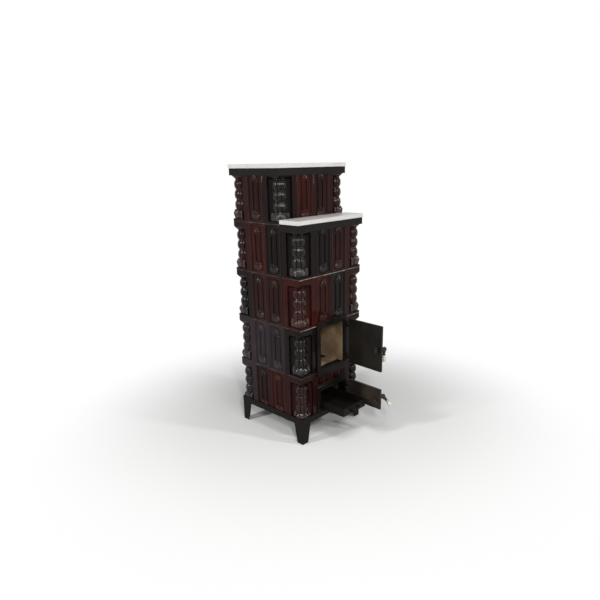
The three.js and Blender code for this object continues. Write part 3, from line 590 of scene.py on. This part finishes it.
def mixed(nodes, links, factor, first, second, kind="MIX"):
    made = nodes.new("ShaderNodeMix")
    made.data_type = "RGBA"
    made.blend_type = kind
    for socket, value in ((made.inputs[0], factor), (made.inputs[6], first), (made.inputs[7], second)):
        if isinstance(value, bpy.types.NodeSocket):
            links.new(value, socket)
        else:
            socket.default_value = value
    return made.outputs[2]


def bumped(nodes, links, height, strength, distance, before=None):
    made = nodes.new("ShaderNodeBump")
    made.inputs["Strength"].default_value = strength
    made.inputs["Distance"].default_value = distance
    links.new(height, made.inputs["Height"])
    if before is not None:
        links.new(before, made.inputs["Normal"])
    return made.outputs[0]


glaze_pooling, nodes, links, entry, leave = new_group(
    "glaze_pooling",
    [("Thin", "Color", (0.1, 0.02, 0.01, 1)), ("Body", "Color", (0.03, 0.01, 0.01, 1)),
     ("Pool", "Color", (0.01, 0.008, 0.01, 1)), ("Relief", "Float", 0.5), ("Worked", "Float", 0.0)],
    [("Color", "Color"), ("Roughness", "Float"), ("Normal", "Vector"), ("Coat", "Float")])
place_in = nodes.new("ShaderNodeTexCoord").outputs["Object"]
cloud = span(nodes, links, noise(nodes, links, place_in, 11, 4, 0.6, (1, 1, 0.55)), 0.36, 0.66)
streak = span(nodes, links, noise(nodes, links, place_in, 70, 3, 0.6, (1, 1, 0.22)), 0.35, 0.7)
body = mixed(nodes, links, cloud, entry["Pool"], entry["Body"])
body = mixed(nodes, links, span(nodes, links, streak, 0, 1, 0, 0.18), body, entry["Thin"])
body = mixed(nodes, links, span(nodes, links, entry["Relief"], 0.5, 0.44, 0, 0.45), body, entry["Pool"])
body = mixed(nodes, links, span(nodes, links, entry["Relief"], 0.52, 0.62, 0, 0.22), body, entry["Thin"])
links.new(body, leave["Color"])
skin = nodes.new("ShaderNodeMath")
skin.operation = "MULTIPLY"
links.new(span(nodes, links, entry["Relief"], 0.506, 0.535), skin.inputs[0])
links.new(entry["Worked"], skin.inputs[1])
links.new(skin.outputs[0], leave["Coat"])
dulled = noise(nodes, links, place_in, 160, 2)
links.new(span(nodes, links, dulled, 0.3, 0.7, 0.07, 0.15), leave["Roughness"])
wave = bumped(nodes, links, noise(nodes, links, place_in, 42, 2, 0.5), 0.16, 0.0018)
fine = noise(nodes, links, place_in, 380, 2)
links.new(bumped(nodes, links, fine, 0.04, 0.0004, wave), leave["Normal"])


def in_group(nodes, links, group, shader, values, sockets):
    """Places the group, gives it its own values and links what it puts out to the shader."""
    made = nodes.new("ShaderNodeGroup")
    made.node_tree = group
    for name, value in values.items():
        if isinstance(value, bpy.types.NodeSocket):
            links.new(value, made.inputs[name])
        else:
            made.inputs[name].default_value = value
    for name, socket in sockets.items():
        links.new(made.outputs[name], shader.inputs[socket])
    return made


def shader_material(name, gloss=0.5, metal=0.0):
    material, nodes, links = node_material(name)
    output = nodes.new("ShaderNodeOutputMaterial")
    shader = nodes.new("ShaderNodeBsdfPrincipled")
    shader.inputs["Specular IOR Level"].default_value = gloss
    shader.inputs["Metallic"].default_value = metal
    links.new(shader.outputs[0], output.inputs["Surface"])
    return material, nodes, links, shader


FINISH = {"Color": "Base Color", "Roughness": "Roughness", "Normal": "Normal"}
GLAZE_GLOSS = 0.09
SHINE_ROUGHNESS = 0.09
SHINE_IOR = 1.5
# thin, body and pooled colour, and the tint of what the skin mirrors
GLAZE = {
    "glaze_red": ((0.066, 0.014, 0.008, 1), (0.033, 0.0052, 0.0034, 1),
                  (0.0110, 0.0024, 0.0020, 1), (1, 0.72, 0.70, 1)),
    "glaze_brown": ((0.044, 0.011, 0.008, 1), (0.019, 0.0054, 0.0042, 1),
                    (0.0065, 0.0024, 0.0022, 1), (1, 0.74, 0.72, 1)),
    "glaze_dark": ((0.020, 0.009, 0.009, 1), (0.0058, 0.0036, 0.0038, 1),
                   (0.0024, 0.0018, 0.0020, 1), (1, 0.86, 0.86, 1)),
    "glaze_violet": ((0.038, 0.022, 0.024, 1), (0.0250, 0.0180, 0.0205, 1),
                     (0.0110, 0.0084, 0.0100, 1), (1, 0.88, 0.94, 1)),
}
finish = {}
for slot_name, (thin, body, pool, mirrored) in GLAZE.items():
    material, nodes, links, shader = shader_material(slot_name, GLAZE_GLOSS)
    shader.inputs["Specular Tint"].default_value = mirrored
    relief = nodes.new("ShaderNodeNewGeometry").outputs["Pointiness"]
    worked = nodes.new("ShaderNodeAttribute")
    worked.attribute_name = "worked"
    in_group(nodes, links, glaze_pooling, shader,
             {"Thin": thin, "Body": body, "Pool": pool, "Relief": relief,
              "Worked": worked.outputs["Fac"]},
             {**FINISH, "Coat": "Coat Weight"})
    shader.inputs["Coat Roughness"].default_value = SHINE_ROUGHNESS
    shader.inputs["Coat IOR"].default_value = SHINE_IOR
    finish[slot_name] = material

slot_of = {row["node"]: row["material_slot"] for row in frame["record"]["subparts"]}


def set_tile(shape, name, node, glaze, turns, x, y, z, along=0.0):
    """One tile in the place of its CAD node, moved along its own face where two share a node."""
    turned = Matrix.Rotation(math.radians(90 * turns), 4, "Z")
    beside = Matrix.Translation((along, 0, 0))
    tile = copy_of(shape, name, Matrix.Translation((x, y, z)) @ turned @ beside)
    tile.data.materials.clear()
    tile.data.materials.append(finish[glaze])
    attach(tile, "stove")
    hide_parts(node)


COURSES = 5
CORNER_TURNS = {"front_left": 0, "front_right": 1, "rear_right": 2, "rear_left": 3}
# glaze of the two tiles of a face, seen from outside, left then right
FACE_GLAZE = {
    "side_1_left": ("brown", "red"), "side_2_left": ("violet", "violet"),
    "side_3_left": ("brown", "brown"), "side_4_left": ("red", "dark"), "side_5_left": ("brown",),
    "side_1_right": ("red", "brown"), "side_2_right": ("violet", "dark"),
    "side_3_right": ("brown", "brown"), "side_4_right": ("red", "brown"), "side_5_right": ("red",),
    "front_3": ("red", "dark"), "front_4": ("dark", "brown"), "front_5": ("red", "brown"),
}
for course in range(1, COURSES + 1):
    for corner, turns in CORNER_TURNS.items():
        node = f"corner_{course}_{corner}"
        low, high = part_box(node)
        x = low[0] if "left" in corner else high[0]
        y = low[1] if "front" in corner else high[1]
        set_tile(corner_tile, "tile_" + node, node, slot_of[node], turns, x, y, low[2])
for node, glazes in FACE_GLAZE.items():
    low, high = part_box(node)
    middle_x, middle_y = (low[0] + high[0]) / 2, (low[1] + high[1]) / 2
    turns, x, y = 0, middle_x, low[1]
    if node.endswith("left"):
        turns, x, y = -1, low[0], middle_y
    elif node.endswith("right"):
        turns, x, y = 1, high[0], middle_y
    for i, glaze in enumerate(glazes):
        along = (i - (len(glazes) - 1) / 2) * MODULE
        set_tile(face_tile, f"tile_{node}_{i + 1}", node, "glaze_" + glaze, turns, x, y, low[2], along)
set_tile(strip_tile, "tile_front_strip", "front_strip", "glaze_brown", 0, 0, strip_low[1], strip_low[2])
for course in range(1, COURSES + 1):
    frame["nodes"][f"back_{course}"].data.materials[0] = finish["glaze_dark"]
for shape in (corner_tile, face_tile, strip_tile):
    bpy.data.objects.remove(shape)

# ---------------------------------------------------------------- mortar in the level joints
# Lime mortar, pressed flush into the joint between one course of tiles and the next and wiped. It
# is still pale in two joints of the front and smoked brown in the others.
MORTAR_HALF = 0.0012
MORTAR_BACK = 0.0007
grime, nodes, links, entry, leave = new_group(
    "patchy_grime",
    [("Clean", "Color", (0.5, 0.5, 0.5, 1)), ("Soiled", "Color", (0.1, 0.1, 0.1, 1)),
     ("Size", "Float", 20.0), ("Amount", "Float", 0.5), ("Grain", "Float", 300.0),
     ("Rough", "Float", 0.6), ("Depth", "Float", 0.2)],
    [("Color", "Color"), ("Roughness", "Float"), ("Normal", "Vector")])
place_in = nodes.new("ShaderNodeTexCoord").outputs["Object"]
patches = nodes.new("ShaderNodeTexNoise")
patches.inputs["Detail"].default_value = 5
links.new(place_in, patches.inputs["Vector"])
links.new(entry["Size"], patches.inputs["Scale"])
grain = nodes.new("ShaderNodeTexNoise")
grain.inputs["Detail"].default_value = 3
links.new(place_in, grain.inputs["Vector"])
links.new(entry["Grain"], grain.inputs["Scale"])
share = nodes.new("ShaderNodeMath")
share.operation = "MULTIPLY"
links.new(span(nodes, links, patches.outputs["Fac"], 0.36, 0.68), share.inputs[0])
links.new(entry["Amount"], share.inputs[1])
coloured = mixed(nodes, links, share.outputs[0], entry["Clean"], entry["Soiled"])
specks = span(nodes, links, grain.outputs["Fac"], 0.3, 0.7, 0, 0.3)
coloured = mixed(nodes, links, specks, coloured, entry["Soiled"])
links.new(coloured, leave["Color"])
uneven = nodes.new("ShaderNodeMath")
uneven.operation = "MULTIPLY_ADD"
links.new(span(nodes, links, patches.outputs["Fac"], 0.3, 0.7, -0.12, 0.12), uneven.inputs[0])
uneven.inputs[1].default_value = 1
links.new(entry["Rough"], uneven.inputs[2])
links.new(uneven.outputs[0], leave["Roughness"])
pits = nodes.new("ShaderNodeBump")
pits.inputs["Distance"].default_value = 0.001
links.new(grain.outputs["Fac"], pits.inputs["Height"])
links.new(entry["Depth"], pits.inputs["Strength"])
links.new(pits.outputs[0], leave["Normal"])


def grimy(name, clean, soiled, size, amount, rough, grain_size=300, depth=0.2, gloss=0.5, metal=0.0):
    material, nodes, links, shader = shader_material(name, gloss, metal)
    in_group(nodes, links, grime, shader,
             {"Clean": (*clean, 1), "Soiled": (*soiled, 1), "Size": size, "Amount": amount,
              "Grain": grain_size, "Rough": rough, "Depth": depth}, FINISH)
    return material


CLEAN_JOINTS = (2, 3)
MORTAR_WALL = 0.012
PAST = 0.01
mortar = grimy("mortar", (0.46, 0.41, 0.36), (0.035, 0.022, 0.018), 26, 0.9, 0.85, 700, 0.5, 0.2)
old_mortar = grimy("old_mortar", (0.085, 0.060, 0.050), (0.018, 0.010, 0.008), 30, 0.95, 0.8, 700,
                   0.5, 0.2)
for course in range(1, COURSES):
    low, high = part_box(f"corner_{course}_front_left")
    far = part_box(f"corner_{course}_rear_right")[1]
    joint_z = high[2] + JOINT
    inset = BORDER - MORTAR_BACK
    bed = block(f"mortar_{course}", (low[0] + inset, low[1] + inset, joint_z - MORTAR_HALF),
                (far[0] - inset, far[1] - inset, joint_z + MORTAR_HALF))
    core = block("core", (low[0] + MORTAR_WALL, low[1] + MORTAR_WALL, joint_z - PAST),
                 (far[0] - MORTAR_WALL, far[1] - MORTAR_WALL, joint_z + PAST))
    combine(bed, "DIFFERENCE", [core])
    if course <= 2:
        opening = block("opening", (-MODULE, low[1] - PAST, joint_z - PAST),
                        (MODULE, low[1] + 2 * PAST, joint_z + PAST))
        combine(bed, "DIFFERENCE", [opening])
    bed.data.materials.clear()
    bed.data.materials.append(old_mortar)
    bed.data.materials.append(mortar)
    for face in bed.data.polygons:
        face.material_index = int(course in CLEAN_JOINTS and face.normal.y < -0.9)
    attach(bed, "stove")

# ---------------------------------------------------------------- painted angle and door frames
# Rolled steel angle and flat bar, bent and riveted, under satin black stove paint that has gone
# brownish and thin where it is touched.
black_paint = grimy("black_paint", (0.0036, 0.0033, 0.0031), (0.0095, 0.0070, 0.0056), 9, 0.6, 0.42,
                    420, 0.12, 0.09)
sheet_steel = grimy("sheet_steel", (0.0070, 0.0066, 0.0060), (0.020, 0.0150, 0.0110), 7, 0.75, 0.55,
                    500, 0.12, 0.14)


def softened(node, body, name, material, radius, segments=2, cutters=()):
    """Copy of a CAD node with its loose triangles merged and its sharp edges rounded."""
    made = bpy.data.objects.new(name, frame["nodes"][node].data.copy())
    made.data.name = name
    bpy.context.collection.objects.link(made)
    bpy.ops.object.select_all(action="DESELECT")
    made.select_set(True)
    bpy.context.view_layer.objects.active = made
    bpy.ops.object.mode_set(mode="EDIT")
    bpy.ops.mesh.select_all(action="SELECT")
    bpy.ops.mesh.remove_doubles(threshold=0.00002)
    bpy.ops.mesh.dissolve_limited(angle_limit=math.radians(0.5))
    bpy.ops.object.mode_set(mode="OBJECT")
    if cutters:
        combine(made, "DIFFERENCE", cutters)
    edge = made.modifiers.new("soft_edges", "BEVEL")
    edge.width = radius
    edge.segments = segments
    edge.limit_method = "ANGLE"
    edge.angle_limit = math.radians(40)
    bpy.context.view_layer.objects.active = made
    bpy.ops.object.modifier_apply(modifier=edge.name)
    finish_mesh(made)
    made.data.materials.clear()
    made.data.materials.append(material)
    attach(made, body)
    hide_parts(node)
    return made


softened("base_frame", "stove", "legs_and_base_ring", black_paint, 0.0006)
softened("lower_slab_frame", "stove", "lower_slab_angle", black_paint, 0.0007)
softened("upper_slab_frame", "stove", "upper_slab_angle", black_paint, 0.0007)
softened("fire_door_frame", "stove", "fire_frame_plate", black_paint, 0.0006)
HOLES = 9
HOLE_PITCH = 0.022
HOLE_R = 0.0026
HOLE_DEPTH = 0.0060
plate_y = strip_low[1] - HOLE_DEPTH
hole_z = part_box("ash_door_frame")[1][2] - 0.0125
drills = []
for i in range(HOLES):
    bpy.ops.object.select_all(action="DESELECT")
    bpy.ops.mesh.primitive_cylinder_add(vertices=14, radius=HOLE_R, depth=HOLE_DEPTH,
                                        location=((i - (HOLES - 1) / 2) * HOLE_PITCH, plate_y, hole_z),
                                        rotation=(math.radians(90), 0, 0))
    drills.append(bpy.context.object)
    placed()
softened("ash_door_frame", "stove", "ash_frame_plate", black_paint, 0.0005, 2, drills)
frame["nodes"]["floor_plate"].data.materials[0] = sheet_steel

# ---------------------------------------------------------------- door leaves and ash drawer
# Folded sheet steel under matt heatproof paint, dulled by smoke on the inside.
softened("fire_door", "fire_door", "fire_door_leaf", sheet_steel, 0.0006)
smoked_steel = grimy("smoked_steel", (0.0150, 0.0120, 0.0098), (0.042, 0.031, 0.023), 9, 0.8, 0.6,
                     500, 0.12, 0.12)
drawer_steel = grimy("drawer_steel", (0.0036, 0.0034, 0.0031), (0.0085, 0.0072, 0.0060), 12, 0.7,
                     0.5, 500, 0.12, 0.08)
softened("ash_door", "ash_door", "ash_door_leaf", smoked_steel, 0.0006)
softened("ash_drawer", "ash_drawer", "ash_tray", drawer_steel, 0.0005)

# ---------------------------------------------------------------- latch levers with porcelain grips
# A turned and forged lever on an axle through the leaf, with a pear of glazed porcelain on its
# lower arm and a tongue inside that catches behind the frame.
HINGE = Vector((0.117, -0.2325, 0))
LATCH_X = -0.071
LEAF_OUT = 0.0055
GRIP_STAND = 0.046
LATCHES = {"fire": (0.446, 88, 0), "ash": (0.192, 88, -60)}
# level and radius of each ring of the turned parts
HUB_ROWS = [(0.0004, 0.0085), (0.0015, 0.0090), (0.0075, 0.0090), (0.0095, 0.0080),
            (0.0115, 0.0062), (0.0300, 0.0060), (0.0325, 0.0072), (0.0345, 0.0098),
            (0.0385, 0.0116), (0.0460, 0.0120), (0.0520, 0.0115), (0.0555, 0.0094),
            (0.0574, 0.0060), (0.0579, 0.0020)]
ARM_ROWS = [(0.0020, 0.0070), (0.0060, 0.0088), (0.0160, 0.0088), (0.0195, 0.0070),
            (0.0215, 0.0060), (0.0245, 0.0060), (0.0258, 0.0070), (0.0266, 0.0084),
            (0.0294, 0.0084), (0.0299, 0.0078), (0.0300, 0.0030), (0.0540, 0.0030)]
GRIP_ROWS = [(0.0305, 0.0040), (0.0306, 0.0064), (0.0312, 0.0072), (0.0340, 0.0077),
             (0.0400, 0.0091), (0.0460, 0.0104), (0.0520, 0.0111), (0.0570, 0.0112),
             (0.0610, 0.0106), (0.0640, 0.0090), (0.0658, 0.0062), (0.0663, 0.0025)]
AXLE_ROWS = [(-0.0246, 0.0036), (-0.0242, 0.0040), (0.0020, 0.0040)]
TONGUE = ((-0.006, -0.006, -0.0241), (0.006, 0.028, -0.0191))
base_low, base_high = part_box("base_frame")
middle_y = (base_low[1] + base_high[1]) / 2
iron = grimy("iron", (0.012, 0.011, 0.010), (0.030, 0.022, 0.016), 60, 0.6, 0.55, 900, 0.35, 0.3, 0.2)
porcelain = grimy("porcelain", (0.60, 0.60, 0.50), (0.42, 0.40, 0.29), 45, 0.5, 0.22, 200, 0.03)


def turned_piece(name, rows, steps):
    """Closed turned body about z, drawn up ring by ring."""
    bpy.ops.object.select_all(action="DESELECT")
    bpy.ops.mesh.primitive_circle_add(vertices=steps, radius=rows[0][1], fill_type="NGON",
                                      location=(0, 0, rows[0][0]))
    made = bpy.context.object
    made.name = name
    placed()
    bpy.ops.object.mode_set(mode="EDIT")
    bpy.ops.mesh.select_all(action="SELECT")
    for (z0, r0), (z1, r1) in zip(rows, rows[1:]):
        bpy.ops.mesh.extrude_region_move(TRANSFORM_OT_translate={"value": (0, 0, z1 - z0)})
        bpy.ops.transform.resize(value=(r1 / r0, r1 / r0, 1), center_override=(0, 0, z1))
    bpy.ops.mesh.select_all(action="SELECT")
    bpy.ops.mesh.normals_make_consistent(inside=False)
    bpy.ops.object.mode_set(mode="OBJECT")
    return made


for door, (latch_z, opened, turned) in LATCHES.items():
    on_leaf = (Matrix.Translation((HINGE.x, HINGE.y + middle_y, 0))
               @ Matrix.Rotation(math.radians(opened), 4, "Z")
               @ Matrix.Translation((LATCH_X - HINGE.x, -LEAF_OUT, latch_z))
               @ Matrix.Rotation(math.radians(90), 4, "X")
               @ Matrix.Rotation(math.radians(turned), 4, "Z"))
    down = Matrix.Translation((0, 0, GRIP_STAND)) @ Matrix.Rotation(math.radians(90), 4, "X")
    lever = turned_piece(f"{door}_latch_lever", HUB_ROWS, 24)
    arm = turned_piece("arm", ARM_ROWS, 20)
    arm.data.transform(down)
    axle = turned_piece("axle", AXLE_ROWS, 16)
    tongue = block("tongue", *TONGUE)
    round_edges(tongue, lambda mid, way: abs(way.z) > 0.9, 0.002)
    combine(lever, "UNION", [arm, axle, tongue])
    finish_mesh(lever, 34)
    lever.data.transform(on_leaf)
    lever.data.materials.append(iron)
    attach(lever, f"{door}_lever")
    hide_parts(f"{door}_lever")
    grip = turned_piece(f"{door}_porcelain_grip", GRIP_ROWS, 32)
    finish_mesh(grip, 60)
    grip.data.transform(on_leaf @ down)
    grip.data.materials.append(porcelain)
    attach(grip, f"{door}_lever")
    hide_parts(f"{door}_grip")

# ---------------------------------------------------------------- marble slabs
# Two honed slabs of white marble with faint grey clouds and thin grey veins, their arrises eased.
MARBLE_PALE = (0.60, 0.585, 0.56, 1)
MARBLE_CLOUD = (0.52, 0.505, 0.48, 1)
MARBLE_VEIN = (0.42, 0.39, 0.37, 1)
MARBLE_SPECK = (0.5, 0.47, 0.44, 1)
marble, nodes, links, shader = shader_material("marble", 0.4)
place_in = nodes.new("ShaderNodeTexCoord").outputs["Object"]
clouds = span(nodes, links, noise(nodes, links, place_in, 5, 5, 0.6, (1, 1, 1)), 0.38, 0.68)
warp = nodes.new("ShaderNodeTexNoise")
warp.inputs["Scale"].default_value = 7
warp.inputs["Detail"].default_value = 4
links.new(place_in, warp.inputs["Vector"])
bent = nodes.new("ShaderNodeMix")
bent.data_type = "VECTOR"
bent.inputs[0].default_value = 0.16
links.new(place_in, bent.inputs[4])
links.new(warp.outputs["Color"], bent.inputs[5])
veins = nodes.new("ShaderNodeTexVoronoi")
veins.feature = "DISTANCE_TO_EDGE"
veins.inputs["Scale"].default_value = 6
links.new(bent.outputs[1], veins.inputs["Vector"])
stone = mixed(nodes, links, clouds, MARBLE_PALE, MARBLE_CLOUD)
veined = span(nodes, links, veins.outputs["Distance"], 0.030, 0.0, 0, 0.25)
stone = mixed(nodes, links, veined, stone, MARBLE_VEIN)
specks = span(nodes, links, noise(nodes, links, place_in, 240, 2), 0.62, 0.75, 0, 0.25)
stone = mixed(nodes, links, specks, stone, MARBLE_SPECK)
links.new(stone, shader.inputs["Base Color"])
links.new(span(nodes, links, clouds, 0, 1, 0.24, 0.4), shader.inputs["Roughness"])
honed = noise(nodes, links, place_in, 160, 3)
links.new(bumped(nodes, links, honed, 0.08, 0.0006), shader.inputs["Normal"])
softened("lower_slab", "stove", "lower_marble_slab", marble, 0.0007)
softened("upper_slab", "stove", "upper_marble_slab", marble, 0.0007)

# ---------------------------------------------------------------- lining, core, grate and collar
# Tan firebrick splits, turning dark brown towards the top, round a cast grate; packed clay behind the
# tiles; a cast collar for the pipe at the back.
BRICK_PALE = (0.30, 0.205, 0.122, 1)
BRICK_DEEP = (0.19, 0.126, 0.072, 1)
BRICK_GRIT = (0.16, 0.115, 0.07, 1)
BRICK_TOP_DARK = (0.045, 0.030, 0.018, 1)
firebrick, nodes, links, shader = shader_material("firebrick", 0.15)
place_in = nodes.new("ShaderNodeTexCoord").outputs["Object"]
height = nodes.new("ShaderNodeSeparateXYZ")
links.new(place_in, height.inputs[0])
cloud = noise(nodes, links, place_in, 14, 4, 0.6)
height_and_cloud = nodes.new("ShaderNodeMath")
height_and_cloud.operation = "MULTIPLY_ADD"
links.new(cloud, height_and_cloud.inputs[0])
height_and_cloud.inputs[1].default_value = 0.09
links.new(height.outputs["Z"], height_and_cloud.inputs[2])
brick = mixed(nodes, links, span(nodes, links, cloud, 0.35, 0.68), BRICK_PALE, BRICK_DEEP)
grit = span(nodes, links, noise(nodes, links, place_in, 420, 2), 0.58, 0.75, 0, 0.5)
brick = mixed(nodes, links, grit, brick, BRICK_GRIT)
# the brick colour runs to dark brown over the upper part of the lining
darker_up = span(nodes, links, height_and_cloud.outputs[0], 0.530, 0.625, 0, 0.92)
brick = mixed(nodes, links, darker_up, brick, BRICK_TOP_DARK)
links.new(brick, shader.inputs["Base Color"])
shader.inputs["Roughness"].default_value = 0.92
rasp = noise(nodes, links, place_in, 300, 4)
links.new(bumped(nodes, links, rasp, 0.4, 0.0012), shader.inputs["Normal"])
softened("firebox_lining", "stove", "firebrick_lining", firebrick, 0.0012)
# thin bricks that line the steel casing on both sides of the fire opening
SLIP_X = (0.0885, 0.1022)
SLIP_Y = (-0.2110, -0.1725)
SLIP_Z = [(0.3540, 0.4280), (0.4290, 0.5030), (0.5040, 0.5796)]
for side in (-1, 1):
    for i, (bottom, top) in enumerate(SLIP_Z):
        near_x, far_x = sorted(side * x for x in SLIP_X)
        slip = block(f"throat_brick_{'left' if side < 0 else 'right'}_{i + 1}",
                     (near_x, SLIP_Y[0] + middle_y, bottom), (far_x, SLIP_Y[1] + middle_y, top))
        round_edges(slip, lambda mid, way: True, 0.0014, 2)
        finish_mesh(slip)
        slip.data.materials.append(firebrick)
        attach(slip, "stove")
clay = grimy("clay", (0.060, 0.046, 0.036), (0.026, 0.019, 0.014), 16, 0.7, 0.95, 260, 0.6, 0.1)
frame["nodes"]["clay_core"].data.materials[0] = clay
softened("grate", "stove", "cast_grate", iron, 0.0008)
softened("flue_collar", "stove", "cast_flue_collar", iron, 0.0008)
